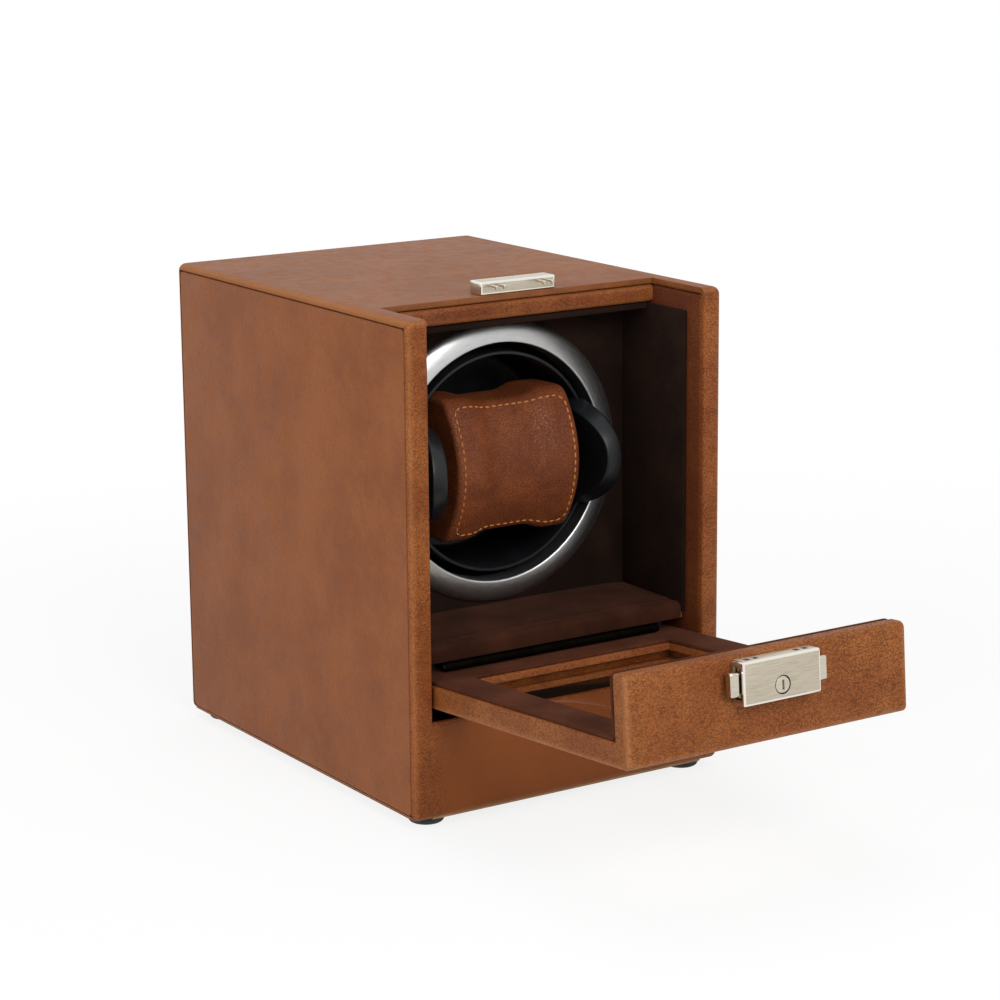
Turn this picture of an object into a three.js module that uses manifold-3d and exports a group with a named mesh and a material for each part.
// Leather-wrapped box for winding one watch, with a glazed flap door that folds down.
// Millimetres, +Z up, -Y out of the door, +X to the right as one looks in. The flap stands open.
// Until the last line the cabinet's front plane is y = 0, its middle x = 0 and its underside z = 0.
import * as THREE from "three";
import { mergeVertices } from "three/addons/utils/BufferGeometryUtils.js";
import Module from "manifold-3d";

const wasm = await Module();
wasm.setup();

// ---- fits and cuts
// gap parts neighbours that don't touch, past is how far a cut runs beyond the face it opens, and
// bite is how far a joined piece sinks into the one that carries it.
const gap = 0.3;
const past = 1;
const bite = 0.5;

// ---- cabinet
const cabinetWidth = 138;
const cabinetDepth = 176;
const cabinetHeight = 184;
const edgeRadius = 3;
const sideThickness = 8.5;
const topThickness = 8.5;
const bottomThickness = 8.5;
const backThickness = 8.5;
const frontThickness = 7.5;
const skin = 1;
const seamGap = 0.3;
const sideSeamInset = 2.2;
const sideSeamFoot = 1.5;
const lowerFrontHeight = 37;
const frontBevelDrop = 3.3;
const railHeight = 7;
const railDepth = 7.7;
const railEdgeRadius = 1;
const topTongue = 1.1;
const topEdgeSetBack = 0.8;

// ---- feet
const footRadius = 6.8;
const footFaceRadius = 5.4;
const footHeight = 3.2;
const footInsetSide = 11;
const footInsetEnd = 10;

// ---- flap door, drawn closed and then turned open
const doorOpenDegrees = 85.7;
const doorSideGap = 0.8;
const doorFootGap = 1.3;
const doorThickness = 8.7;
const doorEdgeRadius = 2.5;
const doorLiningThickness = 1;
const doorLiningInset = 0.8;
const doorLiningEndGap = 1;
const lipDepth = 32.1;
const lipThickness = 7.4;
const lipClearance = 0.5;
const lipEdgeRadius = 1.6;
const windowSideBar = 15.7;
const windowFootBar = 27;
const windowHeadBar = 17;
const rebateWidth = 3;
const rebateDepth = 6.2;
const glassThickness = 2.5;

// ---- hinge under the shelf nose
const knuckleRadius = 1.6;
const knuckleClear = 0.4;
const pivotAboveDoorFoot = 14.5;
const hingeLength = 96;
const knuckleCount = 5;
const hingePinRadius = 0.7;
const hingeBoreRadius = 0.8;
const hingeLeafThickness = 1;
const hingeLeafWidth = 10.5;
const stopWidth = 6;
const stopLength = 7;
const stopSetBack = 6;

// ---- shelf, linings and rotor panel
const shelfBoardThickness = 3;
const shelfPadHeight = 4.3;
const shelfNoseThickness = 1.7;
const shelfNoseRadius = 3;
const shelfFrontClear = 1.2;
const liningThickness = 1.5;
const ceilingThickness = 2.2;
const liningClear = 0.6;
const bayDepth = 50.5;
const rotorPanelThickness = 5;

// ---- ring, cup housing and rotor
const ringInnerRadius = 45.8;
const ringOuterRadius = 54.5;
const ringProud = 3.5;
const ringNose = 0.8;
const sleeveThickness = 1.4;
const housingWall = 1.8;
const housingFlange = 2.2;
const housingFlangeWidth = 7;
const housingBack = 2.5;
const housingDepth = 36.5;
const cupRadius = 42.5;
const cupWall = 1.5;
const cupRimSetForward = 2;
const cupDepth = 37.5;
const cupFloor = 2.5;
const cupCorner = 2.5;
const earThickness = 4.5;
const earReach = 20.5;
const earHalfWidth = 14;
const earFootHalfWidth = 19.5;
const earRootDepth = 12;
const shaftRadius = 4;
const shaftClear = 0.12;
const bossRadius = 8;
const bossClear = 0.4;
const flareSteps = 6;

// ---- drive
const toothModule = 1;
const toothTip = 0.85;
const toothRoot = 1.2;
const toothTipShare = 0.12;
const toothRootShare = 0.32;
const gearTeeth = 40;
const pinionTeeth = 12;
const gearThickness = 4;
const gearBack = 2;
const gearHubWall = 2.5;
const gearHubClear = 1;
const meshClear = 0.15;
const bushRadius = 7;
const bushProud = 1;
const bracketThickness = 2.5;
const bracketStandOff = 9;
const bracketFootClear = 2;
const bracketFootInset = 4;
const bracketFootRadius = 3;
const bracketBelowMotor = 1;
const bracketAboveShaft = 6;
const motorRadius = 12;
const motorLength = 29;
const motorBossRadius = 3.5;
const motorShaftRadius = 1.5;
const motorShaftSeat = 1.5;
const motorShaftProud = 1;
const motorTail = 2;
const shaftTail = 4;

// ---- circuit board, leads and rear controls
const circuitWidth = 56;
const circuitDepth = 36;
const circuitThickness = 1.6;
const circuitStandOff = 3.5;
const circuitSetBack = 4;
const circuitPostInset = 4;
const circuitPostRadius = 2;
// Each component on the board: its reach in x, its reach in y from the board's front, its height.
const circuitComponents = [
  { x: [-18, -10], y: [6, 14], height: 2.2 },
  { x: [-2, 8], y: [8, 20], height: 3 },
  { x: [14, 22], y: [22, 30], height: 6 },
  { x: [-22, -14], y: [24, 31], height: 8 },
];
const leadRadius = 0.9;
const leadSteps = 24;
// Where each lead comes down on the board: x, and y from the board's front.
const motorLeadPad = [3, 24];
const socketLeadPad = [-8, 22];
const recessWidth = 72;
const recessHeight = 30;
const recessCentreZ = 40;
const recessCornerRadius = 3;
const plateMargin = 5;
const plateThickness = 2.5;
const knobRadius = 7;
const knobLength = 5;
const knobStemRadius = 3;
const knobStemTail = 4;
const knobClear = 0.6;
const knobPointerWidth = 1.2;
const knobPointerDepth = 0.7;
const knobPointerStart = 1;
const rockerWidth = 10;
const rockerHeight = 15;
const rockerDepth = 5;
const rockerTiltDegrees = 10;
const rockerHorn = 0.8;
const rockerHornInset = 0.7;
const rockerFootInset = 2.5;
const rockerClear = 0.9;
const rockerHousingWall = 1.2;
const rockerWellDepth = 6.5;
const rockerHousingDepth = 8;
const controlPitch = 24;
const socketRadius = 5;
const socketBore = 3;
const socketPinRadius = 1;
const socketLength = 11;
const socketProud = 1;
const socketFlangeWidth = 1.5;
const socketFloor = 2;
const screwRadius = 1.4;
const screwHeadRadius = 2.6;
const screwHeadHeight = 1.5;
const screwSlotWidth = 0.8;
const screwSlotDepth = 0.5;

// ---- cuff
const cuffHalfWidth = 26;
const cuffHalfHeight = 27.5;
const cuffWaistPinch = 3;
const cuffEdgeRoll = 2.2;
const cuffFrontSetBack = 5;
const cuffDepth = 42;
const cuffRoundness = 2.6;
const cuffRingPoints = 28;
// Stations along the cuff as shares of its half width.
const cuffStations = [-1, -0.94, -0.8, -0.55, -0.25, 0, 0.25, 0.55, 0.8, 0.94, 1];
const coreHalfWidth = 19;
const coreHalfHeight = 16;
const coreSkin = 8;
const tongueHalfWidth = 12;
const tongueHalfHeight = 7;
const socketWallThickness = 2.3;
const socketCollarDepth = 7.5;

// ---- latch and keeper
const latchWidth = 33;
const latchDepth = 15.2;
const latchHeight = 6.5;
const latchSetBack = 1.4;
const latchWall = 1;
const latchBevel = 0.8;
const buttonProud = 4;
const buttonLength = 8.4;
const buttonHeight = 3.4;
const buttonStem = 7.5;
const buttonFlange = 1.7;
const buttonFlangeOverlap = 1.1;
const lockPocketDepth = 2;
const lockProud = 0.2;
const lockRadius = 3;
const lockFromFront = 5.2;
const lockSlotWidth = 0.9;
const lockSlotLength = 3.4;
const lockSlotDepth = 1;
const hookPitch = 21;
const hookWidth = 8;
const hookReach = 5;
const hookThickness = 1.2;
const hookDrop = 0.8;
const hookBarb = 0.8;
const hookSlotSide = 0.7;
const hookSlotFoot = 0.8;
const hookSlotHead = 0.6;
const keeperWidth = 33;
const keeperDepth = 7.5;
const keeperHeight = 5;
const keeperSetBack = 0.6;

// ---- places worked out from the sizes above
const halfWidth = cabinetWidth / 2;
const halfInside = halfWidth - sideThickness;
const topBoardTop = cabinetHeight - skin;
const topBoardBottom = cabinetHeight - skin - topThickness;
const doorHalf = halfInside - doorSideGap;
const doorFoot = lowerFrontHeight + doorFootGap;
const doorLiningFront = doorThickness + gap;
const doorLiningBack = doorLiningFront + doorLiningThickness;
const lipUnderside = cabinetHeight - lipThickness;
const pivotY = doorLiningBack + knuckleClear + knuckleRadius;
const pivotZ = doorFoot + pivotAboveDoorFoot;
const windowHalf = doorHalf - windowSideBar;
const windowFoot = doorFoot + windowFootBar;
const windowHead = cabinetHeight - windowHeadBar;
const railFace = lipDepth + lipClearance;
const railTop = topBoardTop - topTongue;
const topEdgeY = railFace + topEdgeSetBack;
const shelfUnderside = pivotZ + knuckleRadius + gap;
const shelfBoardTop = shelfUnderside + shelfBoardThickness;
const shelfTop = shelfBoardTop + shelfPadHeight;
const shelfFront = doorLiningBack + shelfFrontClear;
const ceilingBottom = topBoardBottom - ceilingThickness;
const liningFront = doorLiningBack + liningClear;
const liningInside = halfInside - liningThickness;
const rotorZ = (shelfTop + ceilingBottom) / 2;
const panelBack = bayDepth + rotorPanelThickness;
const sleeveOuter = ringInnerRadius + sleeveThickness;
const housingFront = panelBack + gap;
const housingEnd = housingFront + housingDepth;
const bushFront = housingEnd - housingBack - bushProud;
const cupRimY = bayDepth - cupRimSetForward;
const cupBack = cupRimY + cupDepth;
const cupFloorFront = cupBack - cupFloor;
const gearFront = housingEnd + gearBack;
const gearRear = gearFront + gearThickness;
const bracketFront = housingEnd + bracketStandOff;
const bracketBack = bracketFront + bracketThickness;
const gearPitchRadius = (toothModule * gearTeeth) / 2;
const pinionPitchRadius = (toothModule * pinionTeeth) / 2;
const gearTipRadius = gearPitchRadius + toothTip * toothModule;
const bracketFootX = gearTipRadius + bracketFootClear + bracketFootRadius;
const pinionZ = rotorZ - gearPitchRadius - pinionPitchRadius - meshClear;
const motorFront = bracketBack + gap;
const motorBack = motorFront + motorLength;
const circuitFront = motorFront + circuitSetBack;
const circuitTop = bottomThickness + circuitStandOff + circuitThickness;
const boardBackFront = cabinetDepth - skin - backThickness;
const recessFloor = recessCentreZ - recessHeight / 2;
const recessRoof = recessCentreZ + recessHeight / 2;
const plateBack = boardBackFront;
const plateFront = plateBack - plateThickness;
const socketBack = plateBack + socketProud;
const socketFront = socketBack - socketLength;
const cuffFront = cupRimY - cuffDepth / 2 + cuffFrontSetBack + gap;
const cuffBack = cuffFront + cuffDepth;
const latchFrontY = lipDepth - latchSetBack - latchDepth;
const latchBackY = lipDepth - latchSetBack;
const latchFoot = cabinetHeight + gap;
const latchTop = latchFoot + latchHeight;
const lockY = latchFrontY + lockFromFront;
const buttonY = latchFrontY + latchDepth / 2;
const buttonZ = latchFoot + latchHeight / 2;
const keeperFront = topEdgeY + keeperSetBack;

const degrees = THREE.MathUtils.degToRad;

// ---- materials
function finish(color, roughness, metalness = 0) {
  return new THREE.MeshStandardMaterial({ color, roughness, metalness });
}

const looks = {
  smoothLeather: () => finish(0x8f5a3c, 0.55),
  grainLeather: () => finish(0x96552f, 0.6),
  suede: () => finish(0x33201c, 0.95),
  fibreboard: () => finish(0xa98258, 0.85),
  blackPlastic: () => finish(0x17181a, 0.45),
  satinMetal: () => finish(0xbfc1c0, 0.35, 1),
  nickel: () => finish(0xc9bfa4, 0.25, 1),
  steel: () => finish(0x9a9ca0, 0.35, 1),
  brass: () => finish(0xb08d4a, 0.35, 1),
  acetal: () => finish(0xe6e2d6, 0.5),
  rubber: () => finish(0x141414, 0.85),
  circuit: () => finish(0x1f5a3a, 0.5),
  leadSheath: () => finish(0x1b1b1b, 0.6),
  glass: () => finish(0xe8f0ee, 0.05),
};

// ---- solids: three.js geometry in, manifold solids for joining and cutting
function solidOf(geometry) {
  const bare = geometry.index ? geometry.toNonIndexed() : geometry.clone();
  bare.deleteAttribute("normal");
  bare.deleteAttribute("uv");
  const merged = mergeVertices(bare, 1e-4);
  const vertProperties = merged.attributes.position.array;
  const triVerts = new Uint32Array(merged.index.array);
  return new wasm.Manifold(new wasm.Mesh({ numProp: 3, vertProperties, triVerts }));
}

function geometryOf(solid) {
  const { vertProperties, triVerts } = solid.getMesh();
  const geometry = new THREE.BufferGeometry();
  geometry.setAttribute("position", new THREE.BufferAttribute(new Float32Array(vertProperties), 3));
  geometry.setIndex(new THREE.BufferAttribute(new Uint32Array(triVerts), 1));
  geometry.computeVertexNormals();
  return geometry;
}

function joined(solids) {
  return solids.reduce((whole, next) => whole.add(next));
}

// A box between two opposite corners, given axis by axis.
function block([x0, x1], [y0, y1], [z0, z1]) {
  const box = new THREE.BoxGeometry(x1 - x0, y1 - y0, z1 - z0);
  return solidOf(box.translate((x0 + x1) / 2, (y0 + y1) / 2, (z0 + z1) / 2));
}

// Where a drawn outline's right, up and thickness point when it is pushed along each axis.
const pushes = {
  x: [new THREE.Vector3(0, 1, 0), new THREE.Vector3(0, 0, 1), new THREE.Vector3(1, 0, 0)],
  y: [new THREE.Vector3(1, 0, 0), new THREE.Vector3(0, 0, 1), new THREE.Vector3(0, -1, 0)],
  z: [new THREE.Vector3(1, 0, 0), new THREE.Vector3(0, 1, 0), new THREE.Vector3(0, 0, 1)],
};

// An outline pushed along an axis from one place to another. On x it is drawn in y and z, on y in
// x and z, and on z in x and y.
function prism(outline, axis, from, to, curveSegments = 4) {
  const [right, up, out] = pushes[axis];
  const depth = to - from;
  const pushed = new THREE.ExtrudeGeometry(outline, { depth, bevelEnabled: false, curveSegments });
  pushed.applyMatrix4(new THREE.Matrix4().makeBasis(right, up, out));
  const start = axis === "y" ? -to : from;
  return solidOf(pushed.translate(out.x * start, out.y * start, out.z * start));
}

function rectangle(u0, v0, u1, v1) {
  return new THREE.Shape([
    new THREE.Vector2(u0, v0),
    new THREE.Vector2(u1, v0),
    new THREE.Vector2(u1, v1),
    new THREE.Vector2(u0, v1),
  ]);
}

function roundedRectangle(u0, v0, u1, v1, r) {
  const shape = new THREE.Shape();
  shape.absarc(u1 - r, v1 - r, r, 0, Math.PI / 2, false);
  shape.absarc(u0 + r, v1 - r, r, Math.PI / 2, Math.PI, false);
  shape.absarc(u0 + r, v0 + r, r, Math.PI, 1.5 * Math.PI, false);
  shape.absarc(u1 - r, v0 + r, r, 1.5 * Math.PI, 2 * Math.PI, false);
  return shape;
}

function disc(u, v, r) {
  return new THREE.Shape().absarc(u, v, r, 0, 2 * Math.PI, false);
}

// A profile of [radius, place] pairs turned about the line x = 0, z = 0 that runs along y.
function turned(profile, segments = 48) {
  const points = profile.map(([r, y]) => new THREE.Vector2(r, y));
  const onAxis = points[0].x === 0 && points.at(-1).x === 0;
  const outline = THREE.ShapeUtils.area(points) < 0 ? points.reverse() : points;
  const closed = onAxis ? outline : [...outline, outline[0].clone()];
  return solidOf(new THREE.LatheGeometry(closed, segments));
}

// A round bar along y, centred on x and z.
function barY(x, z, r, y0, y1, segments = 24) {
  const bar = new THREE.CylinderGeometry(r, r, y1 - y0, segments);
  return solidOf(bar.translate(x, (y0 + y1) / 2, z));
}

function barX(y, z, r, x0, x1, segments = 20) {
  const bar = new THREE.CylinderGeometry(r, r, x1 - x0, segments).rotateZ(Math.PI / 2);
  return solidOf(bar.translate((x0 + x1) / 2, y, z));
}

function barZ(x, y, r, z0, z1, segments = 24) {
  const bar = new THREE.CylinderGeometry(r, r, z1 - z0, segments).rotateX(Math.PI / 2);
  return solidOf(bar.translate(x, y, (z0 + z1) / 2));
}

function tube(points, radius, steps) {
  const path = new THREE.CatmullRomCurve3(points.map((p) => new THREE.Vector3(...p)));
  const section = disc(0, 0, radius);
  const swept = { extrudePath: path, steps, curveSegments: 4, bevelEnabled: false };
  return solidOf(new THREE.ExtrudeGeometry(section, swept));
}

// ---- cabinet
// The whole cabinet as one block with every outer edge rounded. Walls and skins are cut from it.
function cabinetEnvelope() {
  const side = roundedRectangle(0, 0, cabinetDepth, cabinetHeight, edgeRadius);
  const front = roundedRectangle(-halfWidth, 0, halfWidth, cabinetHeight, edgeRadius);
  const plan = roundedRectangle(-halfWidth, 0, halfWidth, cabinetDepth, edgeRadius);
  return prism(side, "x", -halfWidth, halfWidth)
    .intersect(prism(front, "y", 0, cabinetDepth))
    .intersect(prism(plan, "z", 0, cabinetHeight));
}

function spanX(side, inner, outer) {
  return side > 0 ? [inner, outer] : [-outer, -inner];
}

function sideWall(side, envelope) {
  const core = block(spanX(side, halfInside, halfWidth), [skin, cabinetDepth - skin], [0, topBoardTop]);
  return envelope.intersect(core).subtract(sideField(side, 0));
}

// The leather field on a wall's outer face, set in from the edges by a seam.
function sideField(side, inset) {
  return block(
    spanX(side, halfWidth - skin, halfWidth + (inset ? 0 : skin)),
    [sideSeamInset + inset, cabinetDepth - sideSeamInset - inset],
    [sideSeamFoot + inset, cabinetHeight - sideSeamInset - inset],
  );
}

function topBoard() {
  const section = new THREE.Shape([
    new THREE.Vector2(topEdgeY, railTop),
    new THREE.Vector2(railFace + railDepth + gap, railTop),
    new THREE.Vector2(railFace + railDepth + gap, topBoardBottom),
    new THREE.Vector2(boardBackFront, topBoardBottom),
    new THREE.Vector2(boardBackFront, topBoardTop),
    new THREE.Vector2(topEdgeY, topBoardTop),
  ]);
  return prism(section, "x", -halfInside, halfInside);
}

function topLeather(envelope) {
  const sheet = block([-halfWidth, halfWidth], [0, cabinetDepth], [topBoardTop, cabinetHeight]);
  const rise = [topBoardTop - past, cabinetHeight + past];
  const doorway = block([-halfInside, halfInside], [-past, topEdgeY], rise);
  return envelope.intersect(sheet).subtract(doorway);
}

function topRail() {
  const bottom = railTop - railHeight;
  const back = railFace + railDepth;
  const section = roundedRectangle(railFace, bottom, back, railTop, railEdgeRadius);
  return prism(section, "x", -halfInside, halfInside);
}

function bottomBoard() {
  return block([-halfInside, halfInside], [skin, boardBackFront], [0, bottomThickness]);
}

// Its top edge falls away to the back, to let the foot of the flap swing past.
function frontBoard() {
  const back = skin + frontThickness;
  const section = new THREE.Shape([
    new THREE.Vector2(skin, bottomThickness),
    new THREE.Vector2(back, bottomThickness),
    new THREE.Vector2(back, lowerFrontHeight - frontBevelDrop - gap),
    new THREE.Vector2(skin, lowerFrontHeight - gap),
  ]);
  return prism(section, "x", -halfInside, halfInside);
}

// One hide over both wall fronts and the lower front board, in one piece.
function frontLeather(envelope) {
  const sheet = block([-halfWidth, halfWidth], [0, skin], [0, topBoardTop]);
  const doorway = block([-halfInside, halfInside], [-past, skin + past], [lowerFrontHeight, cabinetHeight]);
  return envelope.intersect(sheet).subtract(doorway);
}

function controlRecess(y0, y1) {
  const half = recessWidth / 2;
  const mouth = roundedRectangle(-half, recessFloor, half, recessRoof, recessCornerRadius);
  return prism(mouth, "y", y0, y1);
}

function backBoard() {
  const board = block([-halfInside, halfInside], [boardBackFront, cabinetDepth - skin], [0, topBoardTop]);
  return board.subtract(controlRecess(boardBackFront - past, cabinetDepth));
}

function backLeather(envelope) {
  const sheet = block([-halfWidth, halfWidth], [cabinetDepth - skin, cabinetDepth], [0, topBoardTop]);
  return envelope.intersect(sheet).subtract(controlRecess(boardBackFront, cabinetDepth + past));
}

function foot(x, y) {
  const profile = [
    [0, 0],
    [footRadius, 0],
    [footRadius, -footHeight / 2],
    [footFaceRadius, -footHeight],
    [0, -footHeight],
  ];
  const points = profile.map(([r, z]) => new THREE.Vector2(r, z)).reverse();
  const round = new THREE.LatheGeometry(points, 24).rotateX(Math.PI / 2);
  return solidOf(round.translate(x, y, 0));
}

// ---- inside of the bay
function sideLining(side) {
  const rise = [shelfBoardTop, topBoardBottom];
  return block(spanX(side, liningInside, halfInside), [liningFront, bayDepth], rise);
}

function ceilingLining() {
  const half = liningInside - gap;
  return block([-half, half], [topEdgeY, bayDepth], [ceilingBottom, topBoardBottom]);
}

function rotorPanel() {
  const board = rectangle(-halfInside, bottomThickness, halfInside, topBoardBottom);
  board.holes.push(disc(0, rotorZ, sleeveOuter + gap));
  return prism(board, "y", bayDepth, panelBack, 24);
}

function shelfBoard() {
  const front = shelfFront + shelfNoseThickness + gap;
  return block([-halfInside, halfInside], [front, bayDepth], [shelfUnderside, shelfBoardTop]);
}

// The suede-covered pad lies on the shelf board and rolls down over its front edge.
function shelfPad() {
  const half = liningInside - gap;
  const innerCorner = shelfFront + shelfNoseThickness;
  const section = new THREE.Shape();
  section.moveTo(bayDepth - gap, shelfBoardTop + gap);
  section.lineTo(bayDepth - gap, shelfTop);
  section.lineTo(shelfFront + shelfNoseRadius, shelfTop);
  section.absarc(
    shelfFront + shelfNoseRadius,
    shelfTop - shelfNoseRadius,
    shelfNoseRadius,
    Math.PI / 2,
    Math.PI,
    false,
  );
  section.lineTo(shelfFront, shelfUnderside);
  section.lineTo(innerCorner, shelfUnderside);
  section.lineTo(innerCorner, shelfBoardTop + gap);
  return prism(section, "x", -half, half);
}

// ---- hinge and stops
function hingeSlices() {
  const pitch = hingeLength / knuckleCount;
  return Array.from({ length: knuckleCount }, (_, i) => {
    const start = -hingeLength / 2 + i * pitch;
    return { fixed: i % 2 === 0, span: [start + gap / 2, start + pitch - gap / 2] };
  });
}

function knuckle([x0, x1]) {
  const barrel = barX(pivotY, pivotZ, knuckleRadius, x0, x1);
  return barrel.subtract(barX(pivotY, pivotZ, hingeBoreRadius, x0 - past, x1 + past));
}

// A leaf is a plate that is cut back around the other leaf's knuckles.
function hingeLeaf(fixed, plate, notch) {
  const own = hingeSlices().filter((slice) => slice.fixed === fixed);
  const others = hingeSlices().filter((slice) => slice.fixed !== fixed);
  const notches = others.map(({ span }) => notch([span[0] - gap, span[1] + gap]));
  const cut = notches.reduce((rest, space) => rest.subtract(space), plate);
  const bore = barX(pivotY, pivotZ, hingeBoreRadius, -hingeLength, hingeLength);
  return own.reduce((whole, { span }) => whole.add(knuckle(span)), cut).subtract(bore);
}

function fixedLeaf() {
  const top = shelfUnderside - gap;
  const half = hingeLength / 2;
  const plate = block(
    [-half + gap / 2, half - gap / 2],
    [pivotY, pivotY + hingeLeafWidth],
    [top - hingeLeafThickness, top],
  );
  const reach = pivotY + knuckleRadius + gap;
  return hingeLeaf(true, plate, (span) => block(span, [pivotY - past, reach], [pivotZ - past, top + past]));
}

function doorLeaf() {
  const front = doorLiningBack + gap;
  const pitch = hingeLength / knuckleCount;
  const half = hingeLength / 2 - pitch / 2;
  const plate = block(
    [-half, half],
    [front, front + hingeLeafThickness],
    [pivotZ - hingeLeafWidth, pivotZ],
  );
  const reach = pivotZ - knuckleRadius - gap;
  const depth = [front - past, pivotY + past];
  return hingeLeaf(false, plate, (span) => block(span, depth, [reach, pivotZ + past]));
}

function hingePin() {
  return barX(pivotY, pivotZ, hingePinRadius, -hingeLength / 2, hingeLength / 2, 12);
}

// The two rubber pads under the shelf that the foot of the open flap comes up against.
function doorStop(side) {
  const angle = degrees(doorOpenDegrees);
  const ahead = stopSetBack + stopLength;
  const offset = pivotY - doorLiningBack;
  const liningZ = (y) => pivotZ - (offset + (y - pivotY) * Math.cos(angle)) / Math.sin(angle);
  const inner = hingeLength / 2 + gap;
  const section = new THREE.Shape([
    new THREE.Vector2(pivotY + stopSetBack, liningZ(pivotY + stopSetBack) + gap),
    new THREE.Vector2(pivotY + ahead, liningZ(pivotY + ahead) + gap),
    new THREE.Vector2(pivotY + ahead, shelfUnderside),
    new THREE.Vector2(pivotY + stopSetBack, shelfUnderside),
  ]);
  const [x0, x1] = spanX(side, inner, inner + stopWidth);
  return prism(section, "x", x0, x1);
}

// ---- ring, housing and rotor, each turned about the rotor's own line
function bezelRing() {
  const crest = bayDepth - ringProud;
  const noseRadius = ringInnerRadius + ringNose;
  const flare = Array.from({ length: flareSteps + 1 }, (_, i) => {
    const turn = (i / flareSteps) * (Math.PI / 2);
    const r = noseRadius + (ringOuterRadius - noseRadius) * Math.sin(turn);
    return [r, bayDepth - ringProud * Math.cos(turn)];
  });
  return turned([
    [ringInnerRadius, panelBack],
    [ringInnerRadius, crest + ringNose],
    ...flare,
    [sleeveOuter, bayDepth],
    [sleeveOuter, panelBack],
  ]);
}

function drumHousing() {
  const wallOuter = ringInnerRadius + housingWall;
  const backInside = housingEnd - housingBack;
  return turned([
    [ringInnerRadius, housingFront],
    [wallOuter + housingFlangeWidth, housingFront],
    [wallOuter + housingFlangeWidth, housingFront + housingFlange],
    [wallOuter, housingFront + housingFlange],
    [wallOuter, housingEnd],
    [bushRadius + shaftClear, housingEnd],
    [bushRadius + shaftClear, backInside],
    [ringInnerRadius, backInside],
  ]);
}

function rotorBush() {
  const bore = shaftRadius + shaftClear;
  return turned(
    [
      [bore, bushFront],
      [bushRadius, bushFront],
      [bushRadius, housingEnd + bushProud],
      [bore, housingEnd + bushProud],
    ],
    24,
  );
}

// The ears carry the cup's wall forward on both sides. Seen from the side each is a rounded tab.
function earTabs() {
  const inner = cupRadius - earThickness;
  const sleeve = turned([
    [inner, cupRimY - earReach],
    [cupRadius, cupRimY - earReach],
    [cupRadius, cupRimY + earRootDepth],
    [inner, cupRimY + earRootDepth],
  ]);
  const tip = cupRimY - earReach;
  const root = cupRimY + earRootDepth;
  const tab = new THREE.Shape();
  tab.moveTo(root, -earFootHalfWidth);
  tab.lineTo(cupRimY, -earFootHalfWidth);
  tab.bezierCurveTo(cupRimY, -earHalfWidth, tip, -earHalfWidth, tip, 0);
  tab.bezierCurveTo(tip, earHalfWidth, cupRimY, earHalfWidth, cupRimY, earFootHalfWidth);
  tab.lineTo(root, earFootHalfWidth);
  return sleeve.intersect(prism(tab, "x", -cupRadius - past, cupRadius + past, 8));
}

function rotorCup() {
  const inner = cupRadius - cupWall;
  const shell = turned([
    [0, cupBack],
    [cupRadius - cupCorner, cupBack],
    [cupRadius, cupBack - cupCorner],
    [cupRadius, cupRimY],
    [inner, cupRimY],
    [inner, cupFloorFront - cupCorner],
    [inner - cupCorner, cupFloorFront],
    [0, cupFloorFront],
  ]);
  const boss = barY(0, 0, bossRadius, cupBack - bite, bushFront - bossClear);
  const bore = barY(0, 0, shaftRadius + shaftClear, cupBack, bushFront);
  return joined([shell, earTabs(), cuffSocket(), boss]).subtract(bore);
}

// A square collar on the cup's floor that the cuff's tongue plugs into.
function cuffSocket() {
  const w = tongueHalfWidth + gap;
  const h = tongueHalfHeight + gap;
  const y = [cupFloorFront - socketCollarDepth, cupFloorFront + cupFloor / 2];
  const outer = block(
    [-w - socketWallThickness, w + socketWallThickness],
    y,
    [-h - socketWallThickness, h + socketWallThickness],
  );
  return outer.subtract(block([-w, w], [y[0] - past, cupFloorFront], [-h, h]));
}

function rotorShaft() {
  return barY(0, 0, shaftRadius, cupBack + gap, bracketBack + shaftTail);
}

// A spur gear's outline about its own centre, with straight-sided teeth and root and tip lands.
function gearOutline(teeth, phase) {
  const pitch = (2 * Math.PI) / teeth;
  const pitchRadius = (toothModule * teeth) / 2;
  const root = pitchRadius - toothRoot * toothModule;
  const tip = pitchRadius + toothTip * toothModule;
  const corners = [
    [-toothRootShare, root],
    [-toothTipShare, tip],
    [toothTipShare, tip],
    [toothRootShare, root],
  ];
  const points = [];
  for (let tooth = 0; tooth < teeth; tooth += 1) {
    for (const [share, radius] of corners) {
      const angle = (tooth + phase + share) * pitch;
      points.push(new THREE.Vector2(radius * Math.sin(angle), radius * Math.cos(angle)));
    }
  }
  return new THREE.Shape(points.reverse());
}

function gear(teeth, phase, boreRadius) {
  const outline = gearOutline(teeth, phase);
  outline.holes.push(disc(0, 0, boreRadius));
  return prism(outline, "y", gearFront, gearRear, 10);
}

function drivenGear() {
  const bore = shaftRadius + shaftClear;
  const outer = shaftRadius + gearHubWall;
  const end = bracketFront - gearHubClear;
  const hub = turned(
    [
      [bore, gearRear - bite],
      [outer, gearRear - bite],
      [outer, end],
      [bore, end],
    ],
    24,
  );
  return gear(gearTeeth, 0, bore).add(hub);
}

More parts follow.
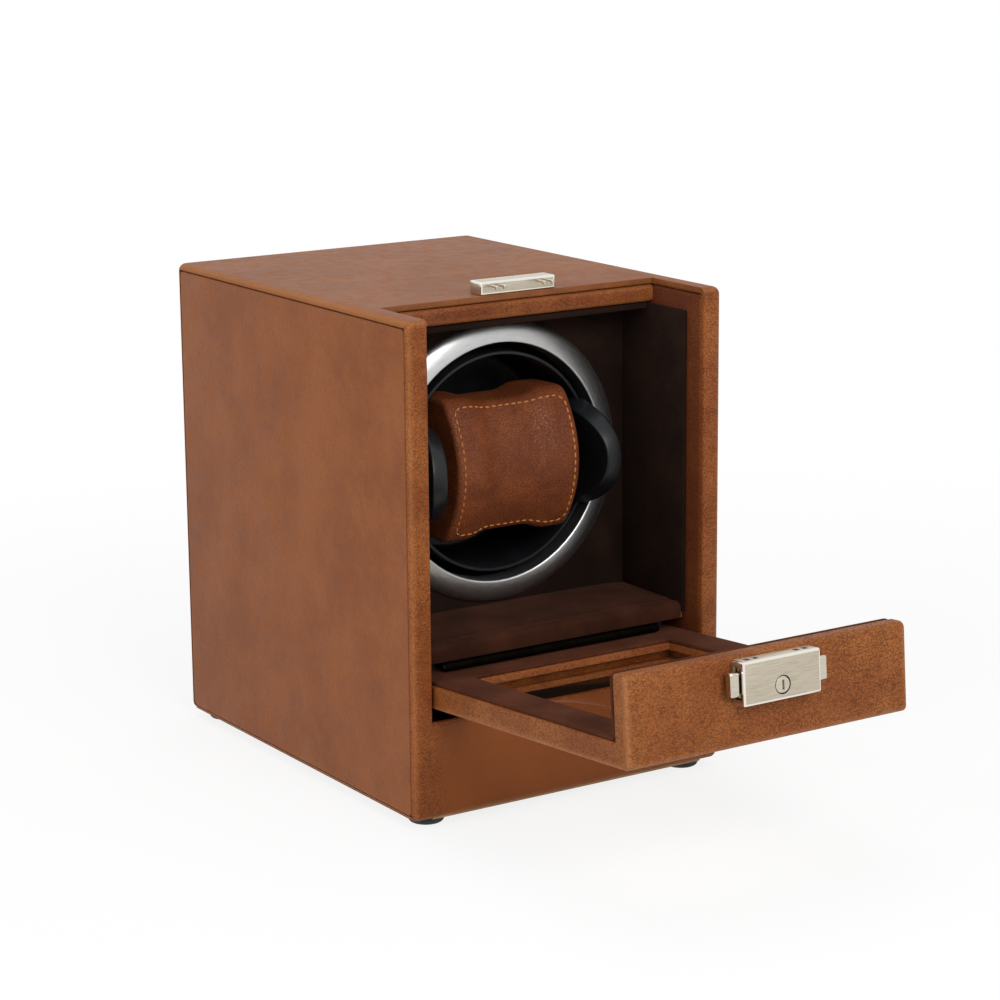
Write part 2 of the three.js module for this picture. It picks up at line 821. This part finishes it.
// ---- drive, placed below the rotor's line
function motorBracket() {
  const low = pinionZ - motorRadius - bracketBelowMotor;
  const high = rotorZ + shaftRadius + bracketAboveShaft;
  const half = bracketFootX + bracketFootInset;
  const face = roundedRectangle(-half, low, half, high, bracketFootInset);
  const plate = prism(face, "y", bracketFront, bracketBack);
  const posts = [-1, 1].flatMap((side) =>
    [low + bracketFootInset, high - bracketFootInset].map((z) =>
      barY(side * bracketFootX, z, bracketFootRadius, housingEnd, bracketFront + bite, 16),
    ),
  );
  const through = [bracketFront - past, bracketBack + past];
  return joined([plate, ...posts])
    .subtract(barY(0, rotorZ, shaftRadius + shaftClear, ...through))
    .subtract(barY(0, pinionZ, motorBossRadius + gap, ...through));
}

function motor() {
  const can = barY(0, pinionZ, motorRadius, motorFront, motorBack, 32);
  const boss = barY(0, pinionZ, motorBossRadius, bracketFront, motorFront + bite);
  const tail = barY(0, pinionZ, motorBossRadius, motorBack - bite, motorBack + motorTail);
  const seat = motorFront + motorShaftSeat + bite;
  const bore = barY(0, pinionZ, motorShaftRadius + shaftClear, bracketFront - past, seat, 16);
  return joined([can, boss, tail]).subtract(bore);
}

function motorShaft() {
  return barY(0, pinionZ, motorShaftRadius, gearFront - motorShaftProud, motorFront + motorShaftSeat, 16);
}

function pinion() {
  return gear(pinionTeeth, 0.5, motorShaftRadius + shaftClear);
}

// ---- circuit board and leads
function circuitBoard() {
  const half = circuitWidth / 2;
  const back = circuitFront + circuitDepth;
  const low = circuitTop - circuitThickness;
  const board = block([-half, half], [circuitFront, back], [low, circuitTop]);
  const posts = [-1, 1].flatMap((side) =>
    [circuitFront + circuitPostInset, back - circuitPostInset].map((y) =>
      barZ(side * (half - circuitPostInset), y, circuitPostRadius, bottomThickness, low + bite, 12),
    ),
  );
  const components = circuitComponents.map(({ x, y, height }) =>
    block(x, [circuitFront + y[0], circuitFront + y[1]], [circuitTop - bite, circuitTop + height]),
  );
  return joined([board, ...posts, ...components]);
}

// A lead leaves its source straight backwards or forwards and comes down square on its pad.
function motorLead() {
  const start = motorBack + motorTail + gap;
  const [padX, padY] = motorLeadPad;
  return tube(
    [
      [0, start, pinionZ],
      [0, start + 2, pinionZ],
      [3, start + 5, pinionZ - 16],
      [7, start + 2, pinionZ - 48],
      [padX, circuitFront + padY, circuitTop + 12],
      [padX, circuitFront + padY, circuitTop + gap],
    ],
    leadRadius,
    leadSteps,
  );
}

function socketLead() {
  const start = socketFront - gap;
  const [padX, padY] = socketLeadPad;
  return tube(
    [
      [-controlPitch, start, recessCentreZ],
      [-controlPitch, start - 2, recessCentreZ],
      [padX - 7, start - 10, recessCentreZ - 16],
      [padX, circuitFront + padY, circuitTop + 8],
      [padX, circuitFront + padY, circuitTop + gap],
    ],
    leadRadius,
    leadSteps,
  );
}

// ---- rear controls on a plate behind the recess
function rockerBlock(grow) {
  const w = rockerWidth / 2 + grow;
  const h = rockerHeight / 2 + grow;
  return [[controlPitch - w, controlPitch + w], [recessCentreZ - h, recessCentreZ + h]];
}

function controlPlate() {
  const w = recessWidth / 2 + plateMargin;
  const h = recessHeight / 2 + plateMargin;
  const z = recessCentreZ;
  const plate = prism(roundedRectangle(-w, z - h, w, z + h, recessCornerRadius), "y", plateFront, plateBack);
  const [wellX, wellZ] = rockerBlock(rockerClear);
  const [housingX, housingZ] = rockerBlock(rockerClear + rockerHousingWall);
  const housing = block(housingX, [plateFront - rockerHousingDepth, plateFront + bite], housingZ);
  const through = [plateFront - past, plateBack + past];
  const cuts = [
    block(wellX, [plateFront - rockerWellDepth, plateBack + past], wellZ),
    barY(-controlPitch, z, socketRadius + gap, ...through),
    barY(0, z, knobStemRadius + gap, ...through),
    ...[-1, 1].map((side) => barY(screwX(side), z, screwRadius + gap, ...through, 12)),
  ];
  return cuts.reduce((rest, cut) => rest.subtract(cut), plate.add(housing));
}

function screwX(side) {
  return side * (recessWidth / 2 + plateMargin / 2);
}

function controlScrew(side) {
  const x = screwX(side);
  const headFront = plateFront - screwHeadHeight;
  const head = barY(x, recessCentreZ, screwHeadRadius, headFront, plateFront, 16);
  const shank = barY(x, recessCentreZ, screwRadius, plateFront - bite, plateBack, 12);
  const slot = block(
    [x - screwHeadRadius - past, x + screwHeadRadius + past],
    [headFront - past, headFront + screwSlotDepth],
    [recessCentreZ - screwSlotWidth / 2, recessCentreZ + screwSlotWidth / 2],
  );
  return head.add(shank).subtract(slot);
}

function dcSocket() {
  const x = -controlPitch;
  const z = recessCentreZ;
  const floor = socketFront + socketFloor;
  const body = barY(x, z, socketRadius, socketFront, socketBack);
  const flange = barY(x, z, socketRadius + socketFlangeWidth, plateBack, socketBack);
  const bore = barY(x, z, socketBore, floor, socketBack + past);
  const pin = barY(x, z, socketPinRadius, floor - bite, socketBack - socketProud, 12);
  return body.add(flange).subtract(bore).add(pin);
}

function modeKnob() {
  const foot = plateBack + knobClear;
  const face = foot + knobLength;
  const cap = barY(0, recessCentreZ, knobRadius, foot, face, 20);
  const stem = barY(0, recessCentreZ, knobStemRadius, plateFront - knobStemTail, foot + bite, 16);
  const pointer = block(
    [-knobPointerWidth / 2, knobPointerWidth / 2],
    [face - knobPointerDepth, face + past],
    [recessCentreZ + knobPointerStart, recessCentreZ + knobRadius + past],
  );
  return cap.add(stem).subtract(pointer);
}

// The rocker is drawn level about its own pivot and stands tilted to its off side.
function rockerSwitch() {
  const [x] = rockerBlock(0);
  const foot = rockerHeight / 2 - rockerFootInset;
  const horn = rockerHeight / 2 - rockerHornInset;
  const face = new THREE.Shape([
    new THREE.Vector2(-rockerDepth, -foot),
    new THREE.Vector2(rockerHorn, -horn),
    new THREE.Vector2(0, 0),
    new THREE.Vector2(rockerHorn, horn),
    new THREE.Vector2(-rockerDepth, foot),
  ]);
  return prism(face, "x", x[0], x[1]);
}

// ---- cuff
// The cuff's outline at one place along it, a rounded oblong drawn in by so much all round.
function cuffRing(x, drawnIn) {
  const halfDepth = cuffDepth / 2 - drawnIn;
  const halfHeight = cuffHalfHeight - drawnIn;
  const centre = (cuffFront + cuffBack) / 2;
  return Array.from({ length: cuffRingPoints }, (_, i) => {
    const angle = (2 * Math.PI * i) / cuffRingPoints;
    const across = Math.abs(Math.cos(angle)) ** cuffRoundness;
    const along = Math.abs(Math.sin(angle)) ** cuffRoundness;
    const reach = (across + along) ** (-1 / cuffRoundness);
    return [x, centre - halfDepth * reach * Math.cos(angle), halfHeight * reach * Math.sin(angle)];
  });
}

// A closed skin over rings of equal count, with a flat fan at each end.
function lofted(rings) {
  const count = rings[0].length;
  const corners = rings.flat();
  const faces = [];
  for (let ring = 0; ring < rings.length - 1; ring += 1) {
    for (let i = 0; i < count; i += 1) {
      const a = ring * count + i;
      const b = ring * count + ((i + 1) % count);
      faces.push([a, b + count, b], [a, a + count, b + count]);
    }
  }
  const last = (rings.length - 1) * count;
  for (let i = 1; i < count - 1; i += 1) {
    faces.push([0, i, i + 1], [last, last + i + 1, last + i]);
  }
  const geometry = new THREE.BufferGeometry();
  geometry.setAttribute("position", new THREE.Float32BufferAttribute(corners.flat(), 3));
  geometry.setIndex(faces.flat());
  return solidOf(geometry);
}

function cuffPad() {
  const rings = cuffStations.map((share) => {
    const roll = Math.abs(share) === 1 ? cuffEdgeRoll : 0;
    const pinch = (cuffWaistPinch * (1 + Math.cos(Math.PI * share))) / 2;
    return cuffRing(share * cuffHalfWidth, pinch + roll);
  });
  const tongueWay = block(
    [-tongueHalfWidth - gap, tongueHalfWidth + gap],
    [cuffBack - coreSkin, cuffBack + past],
    [-tongueHalfHeight - gap, tongueHalfHeight + gap],
  );
  return lofted(rings).subtract(coreBlock(gap)).subtract(tongueWay);
}

function coreBlock(grow) {
  return block(
    [-coreHalfWidth - grow, coreHalfWidth + grow],
    [cuffFront + coreSkin - grow, cuffBack - coreSkin + grow],
    [-coreHalfHeight - grow, coreHalfHeight + grow],
  );
}

function cuffCore() {
  const tongue = block(
    [-tongueHalfWidth, tongueHalfWidth],
    [cuffBack - coreSkin - bite, cupFloorFront - gap],
    [-tongueHalfHeight, tongueHalfHeight],
  );
  return coreBlock(0).add(tongue);
}

// ---- flap door, drawn closed
function doorPanel() {
  const section = new THREE.Shape();
  section.moveTo(doorThickness, doorFoot);
  section.lineTo(doorThickness, cabinetHeight);
  section.lineTo(doorEdgeRadius, cabinetHeight);
  section.absarc(
    doorEdgeRadius,
    cabinetHeight - doorEdgeRadius,
    doorEdgeRadius,
    Math.PI / 2,
    Math.PI,
    false,
  );
  section.absarc(
    doorEdgeRadius,
    doorFoot + doorEdgeRadius,
    doorEdgeRadius,
    Math.PI,
    1.5 * Math.PI,
    false,
  );
  const board = prism(section, "x", -doorHalf, doorHalf);
  const [x, z] = rebateFrame(0);
  const rebate = block(x, [doorThickness - rebateDepth, doorThickness + past], z);
  return board.subtract(windowLight()).subtract(rebate);
}

// The clear opening of the window, through everything on the door.
function windowLight() {
  return block([-windowHalf, windowHalf], [-past, doorLiningBack + past], [windowFoot, windowHead]);
}

function rebateFrame(inset) {
  const w = windowHalf + rebateWidth - inset;
  return [[-w, w], [windowFoot - rebateWidth + inset, windowHead + rebateWidth - inset]];
}

function doorGlass() {
  const front = doorThickness - rebateDepth + gap;
  const [x, z] = rebateFrame(gap);
  return block(x, [front, front + glassThickness], z);
}

function glassBead() {
  const front = doorThickness - rebateDepth + glassThickness + 2 * gap;
  const [x, z] = rebateFrame(gap);
  return block(x, [front, doorThickness], z).subtract(windowLight());
}

function doorLining() {
  const w = doorHalf - doorLiningInset;
  const rise = [doorFoot + doorLiningEndGap, lipUnderside - gap - doorLiningEndGap];
  return block([-w, w], [doorLiningFront, doorLiningBack], rise).subtract(windowLight());
}

function doorLip() {
  const front = doorThickness + gap;
  const section = roundedRectangle(front, lipUnderside, lipDepth, cabinetHeight, lipEdgeRadius);
  return prism(section, "x", -doorHalf, doorHalf);
}

function lipLining() {
  const w = doorHalf - doorLiningInset;
  const top = lipUnderside - gap;
  const depth = [doorLiningBack + gap, lipDepth - doorLiningInset];
  return block([-w, w], depth, [top - doorLiningThickness, top]);
}

// ---- latch on the lip, drawn closed
function latchBody() {
  const half = latchWidth / 2;
  const section = new THREE.Shape([
    new THREE.Vector2(-half, latchFoot),
    new THREE.Vector2(half, latchFoot),
    new THREE.Vector2(half, latchTop - latchBevel),
    new THREE.Vector2(half - latchBevel, latchTop),
    new THREE.Vector2(-half + latchBevel, latchTop),
    new THREE.Vector2(-half, latchTop - latchBevel),
  ]);
  const body = prism(section, "y", latchFrontY, latchBackY);
  const inner = half - latchWall;
  const cuts = [
    block(
      [-inner, inner],
      [latchFrontY + latchWall, latchBackY - latchWall],
      [latchFoot - past, latchTop - latchWall],
    ),
    block([-half - past, half + past], buttonSpan(gap), buttonRise(gap)),
    barZ(0, lockY, lockRadius + gap, latchTop - lockPocketDepth, latchTop + past),
    ...[-1, 1].map((side) => hookSlot(side)),
  ];
  return cuts.reduce((rest, cut) => rest.subtract(cut), body);
}

function buttonSpan(grow) {
  return [buttonY - buttonLength / 2 - grow, buttonY + buttonLength / 2 + grow];
}

function buttonRise(grow) {
  return [buttonZ - buttonHeight / 2 - grow, buttonZ + buttonHeight / 2 + grow];
}

function hookSlot(side) {
  const reach = hookWidth / 2 + hookSlotSide;
  const x = (side * hookPitch) / 2;
  return block(
    [x - reach, x + reach],
    [latchBackY - latchWall - past, latchBackY + past],
    [latchFoot + hookSlotFoot, latchTop - latchWall - hookSlotHead],
  );
}

// A button is pressed inwards. Its flange bears on the inside of the body's wall.
function latchButton(side) {
  const half = latchWidth / 2;
  const along = spanX(side, half - buttonStem, half + buttonProud);
  const stem = block(along, buttonSpan(0), buttonRise(0));
  const flangeOuter = half - latchWall - gap;
  const flange = block(
    spanX(side, flangeOuter - buttonFlange, flangeOuter),
    buttonSpan(buttonFlangeOverlap),
    buttonRise(0),
  );
  return stem.add(flange);
}

function lockBarrel() {
  const top = latchTop + lockProud;
  const barrel = barZ(0, lockY, lockRadius, latchFoot, top, 28);
  const slot = block(
    [-lockSlotWidth / 2, lockSlotWidth / 2],
    [lockY - lockSlotLength / 2, lockY + lockSlotLength / 2],
    [top - lockSlotDepth - lockProud, top + past],
  );
  return barrel.subtract(slot);
}

// ---- keeper on the top board, with two hooks that reach into the closed latch
function keeper() {
  const half = keeperWidth / 2;
  const depth = [keeperFront, keeperFront + keeperDepth];
  const body = block([-half, half], depth, [cabinetHeight, cabinetHeight + keeperHeight]);
  const hooks = [-1, 1].map((side) => keeperHook((side * hookPitch) / 2));
  return joined([body, ...hooks]);
}

function keeperHook(x) {
  const z = buttonZ - hookThickness / 2;
  const span = [x - hookWidth / 2, x + hookWidth / 2];
  const tip = keeperFront - hookReach;
  const tongue = block(span, [tip, keeperFront + bite], [z, z + hookThickness]);
  const barb = block(span, [tip, tip + hookBarb], [z - hookDrop, z + bite]);
  return tongue.add(barb);
}

// ---- assembly
const watchWinder = new THREE.Group();

function put(parent, name, solid, material) {
  const mesh = new THREE.Mesh(geometryOf(solid), material);
  mesh.name = name;
  parent.add(mesh);
  return mesh;
}

const sides = [
  ["left", -1],
  ["right", 1],
];
const envelope = cabinetEnvelope();
const cabinet = new THREE.Group();
watchWinder.add(cabinet);

for (const [name, side] of sides) {
  put(cabinet, `side_wall_${name}`, sideWall(side, envelope), looks.fibreboard());
  put(cabinet, `side_leather_${name}`, sideField(side, seamGap), looks.smoothLeather());
  put(cabinet, `side_lining_${name}`, sideLining(side), looks.suede());
  put(cabinet, `door_stop_${name}`, doorStop(side), looks.rubber());
  put(cabinet, `control_screw_${name}`, controlScrew(side), looks.steel());
  put(cabinet, `foot_front_${name}`, foot(side * (halfWidth - footInsetSide), footInsetEnd), looks.rubber());
  put(
    cabinet,
    `foot_rear_${name}`,
    foot(side * (halfWidth - footInsetSide), cabinetDepth - footInsetEnd),
    looks.rubber(),
  );
}
put(cabinet, "top_board", topBoard(), looks.fibreboard());
put(cabinet, "top_leather", topLeather(envelope), looks.smoothLeather());
put(cabinet, "top_rail", topRail(), looks.grainLeather());
put(cabinet, "bottom_board", bottomBoard(), looks.fibreboard());
put(cabinet, "front_board", frontBoard(), looks.fibreboard());
put(cabinet, "front_leather", frontLeather(envelope), looks.grainLeather());
put(cabinet, "back_board", backBoard(), looks.fibreboard());
put(cabinet, "back_leather", backLeather(envelope), looks.smoothLeather());
put(cabinet, "ceiling_lining", ceilingLining(), looks.suede());
put(cabinet, "rotor_panel", rotorPanel(), looks.suede());
put(cabinet, "shelf_board", shelfBoard(), looks.fibreboard());
put(cabinet, "shelf_pad", shelfPad(), looks.suede());
put(cabinet, "hinge_leaf_shelf", fixedLeaf(), looks.brass());
put(cabinet, "hinge_pin", hingePin(), looks.steel());
put(cabinet, "keeper", keeper(), looks.nickel());
put(cabinet, "motor_bracket", motorBracket(), looks.blackPlastic());
put(cabinet, "motor", motor(), looks.steel());
put(cabinet, "circuit_board", circuitBoard(), looks.circuit());
put(cabinet, "motor_lead", motorLead(), looks.leadSheath());
put(cabinet, "socket_lead", socketLead(), looks.leadSheath());
put(cabinet, "control_plate", controlPlate(), looks.blackPlastic());
put(cabinet, "dc_socket", dcSocket(), looks.blackPlastic());
put(cabinet, "mode_knob", modeKnob(), looks.blackPlastic());
put(cabinet, "motor_shaft", motorShaft(), looks.steel());

// The pinion is drawn about the rotor's line and hung below it.
const pinionSeat = new THREE.Group();
pinionSeat.position.z = pinionZ;
cabinet.add(pinionSeat);
put(pinionSeat, "pinion", pinion(), looks.acetal());

const rockerSeat = new THREE.Group();
rockerSeat.position.set(0, plateBack, recessCentreZ);
rockerSeat.rotation.x = degrees(-rockerTiltDegrees);
cabinet.add(rockerSeat);
put(rockerSeat, "power_rocker", rockerSwitch(), looks.blackPlastic());

// Everything round is turned about the rotor's line and lifted to it as one group.
const rotorLine = new THREE.Group();
rotorLine.position.z = rotorZ;
cabinet.add(rotorLine);
put(rotorLine, "bezel_ring", bezelRing(), looks.satinMetal());
put(rotorLine, "cup_housing", drumHousing(), looks.blackPlastic());
put(rotorLine, "rotor_bush", rotorBush(), looks.brass());
put(rotorLine, "rotor_cup", rotorCup(), looks.blackPlastic());
put(rotorLine, "rotor_shaft", rotorShaft(), looks.steel());
put(rotorLine, "driven_gear", drivenGear(), looks.acetal());
put(rotorLine, "cuff_core", cuffCore(), looks.blackPlastic());
put(rotorLine, "cuff_pad", cuffPad(), looks.grainLeather());

// The flap turns about its hinge pin and lies open.
const door = new THREE.Group();
door.position.set(0, pivotY, pivotZ);
door.rotation.x = degrees(doorOpenDegrees);
cabinet.add(door);
const doorParts = new THREE.Group();
doorParts.position.set(0, -pivotY, -pivotZ);
door.add(doorParts);
put(doorParts, "door_panel", doorPanel(), looks.grainLeather());
put(doorParts, "door_glass", doorGlass(), looks.glass());
put(doorParts, "glass_bead", glassBead(), looks.grainLeather());
put(doorParts, "door_lining", doorLining(), looks.suede());
put(doorParts, "door_lip", doorLip(), looks.grainLeather());
put(doorParts, "lip_lining", lipLining(), looks.suede());
put(doorParts, "hinge_leaf_door", doorLeaf(), looks.brass());
put(doorParts, "latch_body", latchBody(), looks.nickel());
put(doorParts, "lock_barrel", lockBarrel(), looks.nickel());
for (const [name, side] of sides) {
  put(doorParts, `latch_button_${name}`, latchButton(side), looks.nickel());
}

// The origin is under the middle of the whole object, on the plane that the feet stand on.
const reach = new THREE.Box3().setFromObject(watchWinder);
cabinet.position.set(0, -(reach.min.y + reach.max.y) / 2, -reach.min.z);

export default watchWinder;
